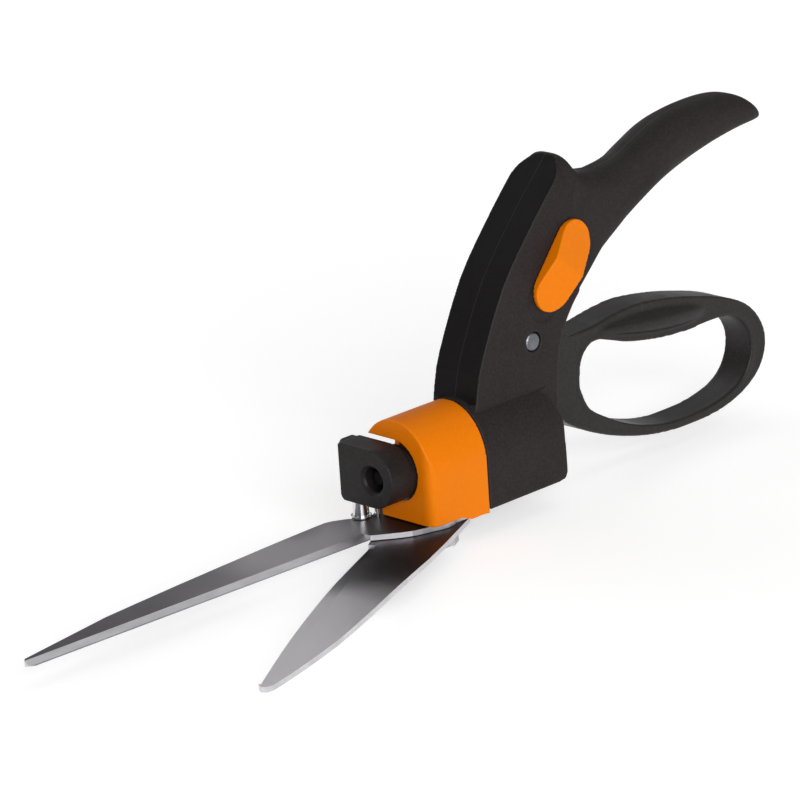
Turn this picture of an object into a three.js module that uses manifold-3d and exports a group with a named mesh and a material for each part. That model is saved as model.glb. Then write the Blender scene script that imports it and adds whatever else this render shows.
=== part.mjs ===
// Rotating-head grass shears: a vertical two-shell handle with a palm rest, a finger loop that pivots in it,
// a drive rod on the head's axis, and a head that turns through 360 degrees and carries the two blades.
// Millimetres, +Z up, +X towards the blade tips, +Y to the tool's left.
// Everything is drawn from the joint between head and handle (x = 0) and the plane in which the two blades
// meet (z = 0), and the finished group is then moved so that the origin lies on the flat foot of the handle.
import * as THREE from "three";
import { mergeVertices } from "three/addons/utils/BufferGeometryUtils.js";
import Module from "manifold-3d";

const wasm = await Module();
wasm.setup();

// ---- driving dimensions ------------------------------------------------------------------------------
const GAP = 0.3; // running gap between neighbouring pieces
const WALL = 2.4; // moulded wall
const AXIS_Z = 21.1; // height of the drive rod and of the head's turning axis
const HEAD_LENGTH = 29.2;
const ARCH = { half: 18.2, rise: 20.9, spring: 20.1 }; // the head and the handle's block share this arch
const HEAD_FLOOR = 2.6; // underside of the head
const FOOT_Z = 1.5; // flat foot of the handle
const FOOT_CENTRE_X = -20;
const BLOCK_REAR = -41.9;
const GRIP_HALF = 11.3; // half the handle's thickness
const PIVOT = { x: -34.5, z: 55.8 }; // finger lever's pivot
const CROSS_PIN_X = -17.5; // drive rod's cross pin, lever open
const BLADE = 2; // blade thickness
const BLADE_PIVOT = { x: 18.5, y: 11.8 };
const DRIVE_PIN = { x: 34.8, y: -14.4, r: 3.1 }; // on the lower blade's tail, blades open
const PIN_ARM = Math.hypot(DRIVE_PIN.x - BLADE_PIVOT.x, DRIVE_PIN.y - BLADE_PIVOT.y);
const PIN_ANGLE = Math.atan2(DRIVE_PIN.y - BLADE_PIVOT.y, DRIVE_PIN.x - BLADE_PIVOT.x);
const BLADE_SWING = THREE.MathUtils.degToRad(28);
const LEVER_SWING = THREE.MathUtils.degToRad(22.1); // finger lever, open to squeezed
const PIVOT_PIN_R = 3.5;
const SLIDE = { low: [-44.1, 73.7], high: [-57.1, 89.2], r: 8.4 }; // lock button's end centres and radius
const LOCK_TRAVEL = 4.5;
const ARC_STEPS = 12; // segments in a right angle of a large curve
const ROUND_STEPS = 20; // segments in a full turn of a pin or hole
const SCREW_STEPS = 12; // and of a screw

// ---- solids ------------------------------------------------------------------------------------------
function solid(geometry) {
  const bare = geometry.index ? geometry.toNonIndexed() : geometry.clone();
  bare.deleteAttribute("normal");
  bare.deleteAttribute("uv");
  const merged = mergeVertices(bare, 1e-4);
  return new wasm.Manifold(
    new wasm.Mesh({
      numProp: 3,
      vertProperties: new Float32Array(merged.attributes.position.array),
      triVerts: new Uint32Array(merged.index.array),
    }),
  );
}

function extruded(shape, length, matrix) {
  const geometry = new THREE.ExtrudeGeometry(shape, { depth: length, bevelEnabled: false, curveSegments: ARC_STEPS });
  return solid(geometry.applyMatrix4(matrix));
}

function asShape(outline) {
  return outline.isShape ? outline : new THREE.Shape(outline.map(([a, b]) => new THREE.Vector2(a, b)));
}

// Outline in (x, z), filled from y0 to y1.
function prismY(outline, y0, y1) {
  const turn = new THREE.Matrix4().makeRotationX(Math.PI / 2).setPosition(0, y1, 0);
  return extruded(asShape(outline), y1 - y0, turn);
}

// Outline in (y, z), filled from x0 to x1.
function prismX(outline, x0, x1) {
  const turn = new THREE.Matrix4().makeBasis(
    new THREE.Vector3(0, 1, 0),
    new THREE.Vector3(0, 0, 1),
    new THREE.Vector3(1, 0, 0),
  );
  return extruded(asShape(outline), x1 - x0, turn.setPosition(x0, 0, 0));
}

// Outline in (x, y), filled from z0 to z1.
function prismZ(outline, z0, z1) {
  return extruded(asShape(outline), z1 - z0, new THREE.Matrix4().setPosition(0, 0, z0));
}

function box(x0, x1, y0, y1, z0, z1) {
  const geometry = new THREE.BoxGeometry(x1 - x0, y1 - y0, z1 - z0);
  return solid(geometry.translate((x0 + x1) / 2, (y0 + y1) / 2, (z0 + z1) / 2));
}

// A turned piece: profile is a list of [radius, distance along the axis] from end to end.
function turned(profile, steps = ROUND_STEPS) {
  const points = [[0, profile[0][1]], ...profile, [0, profile[profile.length - 1][1]]];
  return solid(new THREE.LatheGeometry(points.map(([r, d]) => new THREE.Vector2(r, d)), steps));
}

// Turned pieces stand along +Y in three.js; these lay them along the wanted axis through a point.
const alongX = (made, y, z) => made.rotate([0, 0, -90]).translate([0, y, z]);
const alongY = (made, x, z) => made.translate([x, 0, z]);
const alongZ = (made, x, y) => made.rotate([90, 0, 0]).translate([x, y, 0]);

const rodX = (r, x0, x1, y = 0, z = AXIS_Z, steps = ROUND_STEPS) => alongX(turned([[r, x0], [r, x1]], steps), y, z);
const rodY = (r, y0, y1, x, z, steps = ROUND_STEPS) => alongY(turned([[r, y0], [r, y1]], steps), x, z);
const rodZ = (r, z0, z1, x, y, steps = ROUND_STEPS) => alongZ(turned([[r, z0], [r, z1]], steps), x, y);

function union(...pieces) {
  return pieces.flat().reduce((sum, piece) => sum.add(piece));
}

// ---- outlines ----------------------------------------------------------------------------------------
const smooth = (points, count) =>
  new THREE.SplineCurve(points.map(([a, b]) => new THREE.Vector2(a, b)))
    .getPoints(count)
    .map((p) => [p.x, p.y]);

// Points of an arc about (a, b), from one angle to another in radians.
function arc(a, b, r, from, to, steps = ARC_STEPS) {
  return Array.from({ length: steps + 1 }, (_, i) => {
    const t = from + ((to - from) * i) / steps;
    return [a + r * Math.cos(t), b + r * Math.sin(t)];
  });
}

// A polygon whose corners are rounded: each corner is [a, b, radius].
function rounded(corners, steps = 5) {
  const points = [];
  corners.forEach(([a, b, r = 0], i) => {
    const before = corners[(i + corners.length - 1) % corners.length];
    const after = corners[(i + 1) % corners.length];
    if (!r) {
      points.push([a, b]);
      return;
    }
    const here = new THREE.Vector2(a, b);
    const toBefore = new THREE.Vector2(before[0], before[1]).sub(here).normalize();
    const toAfter = new THREE.Vector2(after[0], after[1]).sub(here).normalize();
    const half = Math.acos(THREE.MathUtils.clamp(toBefore.dot(toAfter), -1, 1)) / 2;
    const reach = r / Math.tan(half);
    const start = here.clone().addScaledVector(toBefore, reach);
    const end = here.clone().addScaledVector(toAfter, reach);
    const curve = new THREE.QuadraticBezierCurve(start, here, end);
    curve.getPoints(steps).forEach((p) => points.push([p.x, p.y]));
  });
  return points;
}

// The arch that the head and the block share, shrunk by inset, down to a floor at height z.
function archOutline(inset, floor) {
  const half = ARCH.half - inset;
  const rise = ARCH.rise - inset;
  const steps = 2 * ARC_STEPS;
  const crown = Array.from({ length: steps + 1 }, (_, i) => {
    const t = (Math.PI * i) / steps;
    return [half * Math.cos(t), ARCH.spring + rise * Math.sin(t)];
  });
  return [[-half, floor], [half, floor], ...crown];
}

function capsule([ax, az], [bx, bz], r) {
  const along = Math.atan2(bz - az, bx - ax);
  return [
    ...arc(bx, bz, r, along - Math.PI / 2, along + Math.PI / 2, 12),
    ...arc(ax, az, r, along + Math.PI / 2, along + 1.5 * Math.PI, 12),
  ];
}

// ---- handle ------------------------------------------------------------------------------------------
const FRONT_EDGE = [[-2.4, 37.8], [-5, 50], [-10.5, 62.6], [-19.9, 80], [-30.3, 93.1], [-44.7, 108.6], [-53.9, 117.5]];
const CREST = [-58.7, 122.2];
const HORN_TOP = [[-62, 108], [-70, 109], [-80, 109.2], [-92.6, 111], [-103.6, 115.2], [-115.6, 119.9],
  [-128.6, 122.2], [-142.6, 122.9], [-153, 122.2], [-160, 120.3], [-164.6, 117], [-167.4, 112.8]];
const HORN_BOTTOM = [[-58, 68], [-66, 72], [-75, 77.5], [-86.5, 84.3], [-98, 90.8], [-111, 96.9], [-124.5, 101.4],
  [-138, 104.8], [-150, 107], [-158.6, 108.2], [-164.4, 108.9], [-167.2, 110]];

// One section of the horn: a rounded oblong between its top and bottom points.
function hornRing(top, bottom, half, power, steps = 24) {
  const centre = [(top[0] + bottom[0]) / 2, (top[1] + bottom[1]) / 2];
  const up = [(top[0] - bottom[0]) / 2, (top[1] - bottom[1]) / 2];
  return Array.from({ length: steps }, (_, i) => {
    const t = (2 * Math.PI * i) / steps;
    const side = Math.sign(Math.cos(t)) * Math.abs(Math.cos(t)) ** (2 / power);
    const rise = Math.sign(Math.sin(t)) * Math.abs(Math.sin(t)) ** (2 / power);
    return [centre[0] + up[0] * rise, half * side, centre[1] + up[1] * rise];
  });
}

// A closed skin through rings of equal length, with flat ends.
function loft(rings) {
  const per = rings[0].length;
  const positions = [];
  const quad = (a, b, c, d) => positions.push(...a, ...b, ...c, ...a, ...c, ...d);
  for (let r = 0; r + 1 < rings.length; r++)
    for (let i = 0; i < per; i++) {
      const j = (i + 1) % per;
      quad(rings[r][i], rings[r + 1][i], rings[r + 1][j], rings[r][j]);
    }
  const cap = (ring, flip) => {
    const middle = [0, 1, 2].map((k) => ring.reduce((sum, p) => sum + p[k], 0) / per);
    for (let i = 0; i < per; i++) {
      const a = ring[i];
      const b = ring[(i + 1) % per];
      positions.push(...middle, ...(flip ? b : a), ...(flip ? a : b));
    }
  };
  cap(rings[0], false);
  cap(rings[rings.length - 1], true);
  const geometry = new THREE.BufferGeometry();
  geometry.setAttribute("position", new THREE.Float32BufferAttribute(positions, 3));
  return solid(geometry);
}

// The horn, or with an inset the hollow inside it.
function horn(inset) {
  const count = (HORN_TOP.length - 1) * (inset ? 1 : 2);
  const tops = smooth(HORN_TOP, count);
  const bottoms = smooth(HORN_BOTTOM, count);
  const last = inset ? tops.length - 2 : tops.length;
  const rings = tops.slice(0, last).map((top, i) => {
    const bottom = bottoms[i];
    const share = i / (tops.length - 1);
    const span = Math.hypot(top[0] - bottom[0], top[1] - bottom[1]);
    const shrink = inset / span;
    const pull = (from, to) => from.map((v, k) => v + (to[k] - v) * shrink);
    const blunt = Math.sqrt(Math.max(0, 1 - Math.max(0, (share - 0.8) / 0.2) ** 2.4));
    const waist = 1.2 * Math.exp(-(((share - 0.22) / 0.12) ** 2));
    const half = (GRIP_HALF - waist - 1.2 * share) * (0.7 + 0.3 * blunt) - inset;
    return hornRing(pull(top, bottom), pull(bottom, top), half, 5.5 - 2.9 * Math.min(1, share / 0.3), inset ? 12 : 24);
  });
  return loft(rings);
}

// Side outline of the upright, from the block to the crest and down its back.
const UPRIGHT = [[-2, 24], ...smooth(FRONT_EDGE, 12), CREST, [-61.6, 120.3], ...smooth([[-63.6, 117.4], [-67, 113.2],
  [-72, 110], [-77, 108.6]], 6), [-76, 95], [-73, 83], [-67.5, 75], ...smooth([[-62, 69.9], [-57.4, 65.6],
    [-53.7, 60.9], [-50.2, 55.5], [-47.9, 48.5], [-46.4, 40], [-45.8, 31]], 12), [-44.8, 24]];
const UPRIGHT_HOLLOW = [[-5.5, 24], [-5.2, 37], [-8, 50.5], [-13.2, 63], [-22.2, 80.4], [-32.2, 93.6], [-46.5, 108],
  [-56.5, 115.5], [-66, 108], [-70, 100], [-71, 88], [-68, 80.6], [-59.5, 71.8], [-52.5, 62], [-48.5, 56], [-47, 50],
  [-60, 44], [-60, 24]];

// The upright's front face ends in a half-ellipse; this is what lies beyond it.
function aboveCrest() {
  const start = new THREE.Vector2(-48.5, 113);
  const rise = 12.6;
  const dome = arc(0, 0, 1, 0, Math.PI, 20).map(([a, b]) => [a * (GRIP_HALF + 0.001), b * rise]);
  const sheet = asShape([[-20, 0], [-20, 40], [20, 40], [20, 0], ...dome]);
  const up = new THREE.Vector3(CREST[0] - start.x, 0, CREST[1] - start.y).normalize();
  const left = new THREE.Vector3(0, 1, 0);
  const out = new THREE.Vector3().crossVectors(left, up);
  const place = new THREE.Matrix4().makeBasis(left, up, out);
  place.setPosition(new THREE.Vector3(start.x, 0, start.y).addScaledVector(out, -12));
  return extruded(sheet, 40, place);
}

function handleBody() {
  const side = rounded([[BLOCK_REAR, FOOT_Z, 4], [-GAP, FOOT_Z, 0], [-GAP, 44, 0], [-16, 44, 0], [-26, 39.6, 8],
    [-38.2, 34, 6], [-41.2, 26, 5]], 6);
  const block = prismX(archOutline(0, FOOT_Z), BLOCK_REAR, -GAP).intersect(prismY(side, -20, 20));
  const upright = prismY(UPRIGHT, -GRIP_HALF, GRIP_HALF).subtract(aboveCrest());
  return union(block, upright, horn(0));
}

function handleHollow() {
  const block = prismX(archOutline(WALL, FOOT_Z + WALL), BLOCK_REAR + 3.4, -GAP - 2.6);
  const upright = prismY(UPRIGHT_HOLLOW, -GRIP_HALF + WALL, GRIP_HALF - WALL);
  const rear = box(-60, -41, -7.7, 7.7, 25.5, 62.5); // the loop's root passes out here
  return union(block, upright, horn(2.6), rear);
}

// Screws that join the shells: [x, z, half-width of the handle there].
const SHELL_SCREWS = [[-12, 7.4, ARCH.half], [-34.5, 8.4, ARCH.half], [-10.5, 41.5, GRIP_HALF], [-24.6, 74.4, GRIP_HALF],
  [-71.5, 101.5, 10.4], [-128, 115.2, 10.6]];
const BOSS_R = 3.3;

function spindlePocket() {
  return rodX(12.4, -6.4, -2.8, 0, AXIS_Z, 28).add(rodX(8.3, -4, 1, 0, AXIS_Z, 28));
}

// Left shell takes side = 1, right shell side = -1.
function handleShell(side) {
  const reach = (near, far) => (side > 0 ? [near, far] : [-far, -near]);
  let shell = handleBody().subtract(handleHollow());
  const ring = rodX(14.6, -8.2, -1.5, 0, AXIS_Z, 28).intersect(prismX(archOutline(1, FOOT_Z + 1), -8.2, -1.5));
  const hub = side < 0 ? [rodY(6.6, -GRIP_HALF + 1, -7.3, PIVOT.x, PIVOT.z)] : [];
  const bosses = SHELL_SCREWS.map(([x, z, half]) => rodY(BOSS_R, ...reach(0, half - 1), x, z, SCREW_STEPS));
  const [y0, y1] = reach(0.15, 30);
  shell = union(shell, ring, hub, bosses).intersect(box(-200, 20, y0, y1, -5, 140));
  shell = shell.subtract(spindlePocket()).subtract(rodX(6, -9, -5, 0, AXIS_Z));
  shell = shell.subtract(rodY(PIVOT_PIN_R + 0.35, -30, 30, PIVOT.x, PIVOT.z));
  for (const [x, z, half] of SHELL_SCREWS) {
    if (side > 0) shell = shell.subtract(rodY(1.7, 0, 6.6, x, z, SCREW_STEPS));
    else {
      const counterbore = rodY(3.1, -30, 3.6 - half, x, z, SCREW_STEPS);
      shell = shell.subtract(rodY(1.8, -half, 0, x, z, SCREW_STEPS)).subtract(counterbore);
    }
  }
  // a tongue on the left shell's floor sits in a groove in the right one, and carries the middle of the foot
  if (side > 0) return shell.subtract(lockRecess()).add(box(-32, -8, -3, 0.4, FOOT_Z, 3));
  return shell.subtract(box(-32.3, -7.7, -3.3, 1, 0, 3.3));
}

// ---- lock --------------------------------------------------------------------------------------------
const SLIDE_DIRECTION = (() => {
  const [ax, az] = SLIDE.high;
  const [bx, bz] = SLIDE.low;
  const length = Math.hypot(bx - ax, bz - az);
  return [(bx - ax) / length, (bz - az) / length];
})();
const slid = ([x, z], by) => [x + SLIDE_DIRECTION[0] * by, z + SLIDE_DIRECTION[1] * by];
const BUTTON_FLOOR = 10.8;
const BUTTON_CENTRE = [(SLIDE.low[0] + SLIDE.high[0]) / 2, (SLIDE.low[1] + SLIDE.high[1]) / 2];
const STEM_R = 2.4;

function lockRecess() {
  const floor = prismY(capsule(slid(SLIDE.low, LOCK_TRAVEL), SLIDE.high, SLIDE.r + GAP), BUTTON_FLOOR, 20);
  const slot = prismY(capsule(BUTTON_CENTRE, slid(BUTTON_CENTRE, LOCK_TRAVEL), STEM_R + 0.4), 5, 20);
  return floor.add(slot);
}

function lockButton() {
  const base = BUTTON_FLOOR + GAP;
  const cap = prismY(capsule(SLIDE.low, SLIDE.high, SLIDE.r), base, 17);
  const end = 13.1;
  const ridge = 16.6;
  const reach = 24;
  const roofOutline = [[-reach, 30], [reach, 30], [reach, end - 0.6], [15.6, end], [0, ridge], [-15.6, end],
    [-reach, end - 0.6]];
  const along = new THREE.Vector3(SLIDE_DIRECTION[0], 0, SLIDE_DIRECTION[1]);
  const out = new THREE.Vector3(0, 1, 0);
  const across = new THREE.Vector3().crossVectors(along, out);
  const place = new THREE.Matrix4().makeBasis(along, out, across);
  place.setPosition(new THREE.Vector3(BUTTON_CENTRE[0], 0, BUTTON_CENTRE[1]).addScaledVector(across, -20));
  const stem = rodY(STEM_R, 7.2, base + 0.5, ...BUTTON_CENTRE);
  const screwHole = rodY(1.3, 6, 13, ...BUTTON_CENTRE, SCREW_STEPS);
  return cap.subtract(extruded(asShape(roofOutline), 40, place)).add(stem).subtract(screwHole);
}

function lockPlate() {
  const [cx, cz] = BUTTON_CENTRE;
  const angle = Math.atan2(SLIDE_DIRECTION[1], SLIDE_DIRECTION[0]);
  const local = ([a, b]) => [
    cx + a * Math.cos(angle) - b * Math.sin(angle),
    cz + a * Math.sin(angle) + b * Math.cos(angle),
  ];
  const plate = rounded([[-9, -5, 2], [8, -5, 2], [15, -1, 1], [15.4, 4.2, 0.5], [8, 5, 2], [-9, 5, 2]], 3).map(local);
  // the tip that drops behind the lever's tooth, drawn where it locks and carried back by the slide's travel
  const tip = [[10.6, 7], [14.9, 6], [14.9, 16], [10.6, 12.5]].map(([r, degrees]) => {
    const t = THREE.MathUtils.degToRad(90 + degrees);
    return slid([PIVOT.x + r * Math.cos(t), PIVOT.z + r * Math.sin(t)], -LOCK_TRAVEL);
  });
  const hole = rodY(1.4, 0, 10, ...BUTTON_CENTRE, SCREW_STEPS);
  return prismY(plate, 4.2, 6.9).add(prismY(tip, 0.8, 5)).subtract(hole);
}

function lockScrew() {
  return alongY(turned([[2.6, 2.6], [2.6, 3.9], [1.1, 3.9], [1.1, 11.6]], SCREW_STEPS), ...BUTTON_CENTRE);
}

// ---- finger lever ------------------------------------------------------------------------------------
const LOOP_OUTER = [[-71.4, 51.3], [-85, 53.2], [-98, 53.5], [-115, 51.1], [-130, 47.7], [-144, 43.6], [-156, 38],
  [-163.5, 30.6], [-166.8, 22], [-165, 13.5], [-159.5, 7], [-150, 1.9], [-138, -1], [-124, -1.9], [-110, -1.3],
  [-96, 0.8], [-80.2, 5.1], [-66.5, 10.6], [-56.5, 16], [-51.8, 19.6]];
const LOOP_INNER = [[-62, 30], [-63.5, 39.4], [-67.6, 44.2], [-73, 45.4], [-80, 43.4], [-89, 40.4], [-99, 38.3],
  [-111, 36.6], [-124, 35.9], [-136, 36.3], [-148, 35], [-155.4, 29.5], [-158.5, 21.5], [-156.2, 12.6], [-149.3, 6.2],
  [-137.3, 2.7], [-123.5, 1.6], [-110, 2.1], [-98, 4.5], [-87, 8.3], [-76, 13.8], [-66.5, 20.4]];
const LEVER_HALF = 7;
const HUB_R = 8.2;

// Finger pad: a lens-shaped swelling of the loop's upper bar.
function fingerPad() {
  const rings = [];
  const steps = 12;
  for (let i = 0; i <= steps; i++) {
    const share = i / steps;
    const x = -73 - 60 * share;
    const swell = Math.sin(Math.PI * (0.06 + 0.88 * share)) ** 0.7;
    const top = 50.9 + 1.8 * Math.sin(Math.PI * share) - 5.2 * share;
    const bottom = 45.6 - 9 * Math.sin((Math.PI / 2) * share);
    rings.push(hornRing([x, top], [x, bottom + 0.2], LEVER_HALF - 1.5 + 4.6 * swell, 2.4, 20));
  }
  return loft(rings);
}

function leverLoop() {
  const body = [...smooth(LOOP_OUTER, 38), [-48, 24.5], [-45.5, 32], [-42, 36], [-33, 36], [-20.5, 16.8], [-11.5, 17.8],
    [-13.8, 26], [-25, 46], [-26.3, 55.8], [-30, 64], [-37.5, 64], [-46, 58], [-58, 51]];
  const hub = rodY(HUB_R, -LEVER_HALF, LEVER_HALF, PIVOT.x, PIVOT.z, 28);
  const toothAngle = LEVER_SWING;
  const tooth = rounded([[-2.2, 0], [2.2, 0], [0.8, 12.4, 0.4], [-0.8, 12.4, 0.4]], 3).map(([a, b]) => [
    PIVOT.x + a * Math.cos(toothAngle) - b * Math.sin(toothAngle),
    PIVOT.z + a * Math.sin(toothAngle) + b * Math.cos(toothAngle),
  ]);
  let lever = union(prismY(body, -LEVER_HALF, LEVER_HALF), hub);
  lever = lever.subtract(prismY(smooth([...LOOP_INNER, LOOP_INNER[0]], 44), -20, 20));
  lever = lever.add(fingerPad());
  // spring and lock plate lie beside the hub on the left, the drive rod's crosshead between the fork's legs
  lever = lever.subtract(rodY(11, 3.6, 20, PIVOT.x, PIVOT.z, 28)).subtract(box(-60, -20, 3.6, 20, 60, 75));
  lever = lever.subtract(box(-30, -4, -4.2, 4.2, 5, 31.5));
  lever = lever.subtract(prismY(forkSlot(), -20, 20));
  lever = lever.add(prismY(tooth, -LEVER_HALF, 3.4));
  return lever.subtract(rodY(PIVOT_PIN_R + 0.35, -20, 20, PIVOT.x, PIVOT.z));
}

// Open-ended slot in the fork for the cross pin, pointing from the pivot through the pin.
function forkSlot() {
  const down = Math.atan2(AXIS_Z - PIVOT.z, CROSS_PIN_X - PIVOT.x);
  const half = 2.2 + 0.5;
  const at = (along, side) => [
    PIVOT.x + along * Math.cos(down) - side * Math.sin(down),
    PIVOT.z + along * Math.sin(down) + side * Math.cos(down),
  ];
  return [at(31.5, -half), at(50, -half), at(50, half), at(31.5, half)];
}

// ---- drive -------------------------------------------------------------------------------------------
const YOKE = { front: 41.6, back: 30.8, left: -17.3, hidden: -20.6, top: 32.7, bottom: 10.3, half: 10.3 };
const YOKE_MIDDLE = (YOKE.top + YOKE.bottom) / 2;
const MOUTH_CLEARANCE = 0.6; // between the yoke and the opening that it slides through
const SPIGOT_R = 2.2;

function driveRod() {
  const shaft = rodX(3, -13, 30.4);
  const neck = rodX(2.6, 30, 34.2);
  const crosshead = box(-23, -12, -3.8, 3.8, AXIS_Z - 4.4, AXIS_Z + 4.4);
  const thread = rodX(1.4, 24, 40, 0, AXIS_Z, SCREW_STEPS);
  return union(shaft, neck, crosshead).subtract(thread).subtract(rodY(2.4, -10, 10, CROSS_PIN_X, AXIS_Z));
}

// The yoke's rounded right side, grown by a margin, from an angle up to its top.
function yokeSide(margin, from) {
  return arc(0, 0, 1, from, Math.PI / 2, 18).map(([a, b]) => [
    a * (YOKE.half + margin),
    YOKE_MIDDLE + b * (YOKE.top - YOKE_MIDDLE + margin),
  ]);
}

function driveYoke() {
  const { front, back, left, hidden, top, bottom, half } = YOKE;
  const face = [...yokeSide(0, -Math.PI / 2), [left + 0.8, top], [left, top - 0.8],
    ...arc(left + 2.6, bottom + 2.6, 2.6, Math.PI, 1.5 * Math.PI, 5)];
  const body = prismX(face, back, front);
  const arm = prismZ([[front - 0.4, left + 2], [front - 0.4, left + 0.3], [front - 3.6, hidden + 0.9],
    [front - 5.4, hidden], [back, hidden], [back, left + 2]], bottom + 1.4, top - 0.6);
  const barrel = rodX(half, back - 3.2, back + 1, 0, AXIS_Z, 40);
  const countersink = alongX(turned([[4.7, front - 1.2], [5.9, front + 0.01]]), 0, AXIS_Z);
  let yoke = union(body, arm, barrel);
  yoke = yoke.subtract(rodX(3.3, back - 10, back - 0.1)).subtract(rodX(2.9, back - 1, 35.2));
  yoke = yoke.subtract(rodX(4.7, 35.2, 50)).subtract(countersink);
  const groove = SPIGOT_R + 0.4;
  return yoke.subtract(box(DRIVE_PIN.x - groove, DRIVE_PIN.x + groove, -30, -11.6, 5, 20.6));
}

const yokeWasher = () => rodX(4.2, 35.5, 36.1).subtract(rodX(1.7, 30, 50));
const yokeScrew = () => alongX(turned([[1.15, 25.5], [1.15, 36.4], [3.4, 36.4], [3.4, 37.6], [2.4, 38.4]]), 0, AXIS_Z);

// Hollow spindle: its flange is trapped between the shells and the head turns on its nose.
function headSpindle() {
  const outside = alongX(turned([[12, -6], [12, -3.2], [8, -3.2], [8, 10.6], [6.4, 10.6], [6.4, 12.2], [8, 12.2],
    [8, 13]], 28), 0, AXIS_Z);
  const flats = box(-20, -3.2, -11, 11, -5, 60).add(box(-3.2, 20, -30, 30, -5, 60));
  return outside.intersect(flats).subtract(rodX(3.5, -20, 20)).subtract(rodX(5.3, -20, 0));
}

const rodBush = () => rodX(5, -6.3, -0.4).subtract(rodX(3.3, -20, 20));
const retainingRing = () =>
  rodX(9.6, 10.9, 11.9).subtract(rodX(6.7, 0, 20)).subtract(box(0, 20, -2, 2, 0, AXIS_Z - 3));
const frictionWasher = () => rodX(11.4, 9.8, 10.6).subtract(rodX(8.3, 0, 20));

// ---- head --------------------------------------------------------------------------------------------
function headHousing() {
  const outer = prismX(archOutline(0, -1), GAP, HEAD_LENGTH);
  const front = rounded([[GAP, -20], [HEAD_LENGTH, -20], [HEAD_LENGTH, ARCH.half, 4.5], [GAP, ARCH.half]], 5);
  const underside = [[-5, 60], [-5, -0.2], [5, 0.6], [9.5, 0.4], [14.2, 2.5], [HEAD_LENGTH + 5, HEAD_FLOOR],
    [HEAD_LENGTH + 5, 60]];
  let housing = outer.intersect(prismZ(front, -5, 60)).intersect(prismY(underside, -30, 30));
  housing = housing.subtract(prismX(archOutline(WALL, -5), -1, HEAD_LENGTH - 2.4));
  // front opening: round about the axis on the near side, open to the far side
  const mouth = [...yokeSide(MOUTH_CLEARANCE, -Math.PI / 2), [-30, YOKE.top + MOUTH_CLEARANCE], [-30, -5],
    [-11.6, -5], [-11.6, YOKE.bottom - MOUTH_CLEARANCE]];
  housing = housing.subtract(prismX(mouth, HEAD_LENGTH - 4, 60));
  // window in the far wall, for the yoke's arm and the drive pin
  housing = housing.subtract(prismY([[12.2, -5], [60, -5], [60, 33.4], [13.8, 33.4], [12.2, 31.8]], -30, -9));
  return housing.subtract(rodZ(4.7, -5, 6, BLADE_PIVOT.x, BLADE_PIVOT.y));
}

const BLADE_SCREWS = [[5.8, -8.5], [5.8, 9.5], [22.6, -3.5]];

function headChassis() {
  const inner = archOutline(WALL + GAP, 2.5);
  let chassis = prismX(inner, 1, 9.5);
  const floor = prismZ([[2, -14.6], [13.4, -14.6], [16.4, -11.2], [26.4, -10.6], [26.4, 15.2], [2, 15.2]], 2.5, 6);
  chassis = chassis.add(floor).subtract(rodX(8.3, -5, 20, 0, AXIS_Z, 28));
  chassis = chassis.subtract(rodZ(4.7, 0, 20, BLADE_PIVOT.x, BLADE_PIVOT.y));
  for (const [x, y] of BLADE_SCREWS) {
    chassis = chassis.subtract(rodZ(1.8, 0, 20, x, y, SCREW_STEPS));
    if (x < 10) chassis = chassis.subtract(rodZ(3.3, 6, 16, x, y, SCREW_STEPS));
  }
  return chassis;
}

const bladeScrew = ([x, y]) =>
  alongZ(turned([[1.4, 0.5], [1.4, 6.3], [2.8, 6.3], [2.8, 7.3], [2, 8]], SCREW_STEPS), x, y);

// ---- blades ------------------------------------------------------------------------------------------
const UPPER = { low: 0.15, high: 0.15 + BLADE };
const LOWER = { low: -0.15 - BLADE, high: -0.15 };
const SLOT_HALF = DRIVE_PIN.r + 0.3;

// What grinding takes off a blade: a wedge along the line from a to b, width wide, on the given face.
function grind(a, b, width, left, high, top) {
  const from = new THREE.Vector2(...a);
  const along = new THREE.Vector2(...b).sub(from);
  const length = along.length();
  along.normalize();
  const inward = left ? new THREE.Vector2(-along.y, along.x) : new THREE.Vector2(along.y, -along.x);
  const level = top ? high : -high;
  const section = [[-6, level + 4], [width, level + 4], [width, level], [0, level - BLADE + 0.25],
    [-6, level - BLADE + 0.25]];
  const outline = section.map(([s, z]) => [s, top ? z : -z]);
  const shape = asShape(outline);
  const basis = new THREE.Matrix4().makeBasis(
    new THREE.Vector3(inward.x, inward.y, 0),
    new THREE.Vector3(0, 0, 1),
    new THREE.Vector3().crossVectors(new THREE.Vector3(inward.x, inward.y, 0), new THREE.Vector3(0, 0, 1)),
  );
  const direction = new THREE.Vector3().setFromMatrixColumn(basis, 2);
  const startsAtA = direction.x * along.x + direction.y * along.y > 0;
  const start = startsAtA ? from : from.clone().addScaledVector(along, length);
  return extruded(shape, length, basis.setPosition(start.x, start.y, 0));
}

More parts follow.
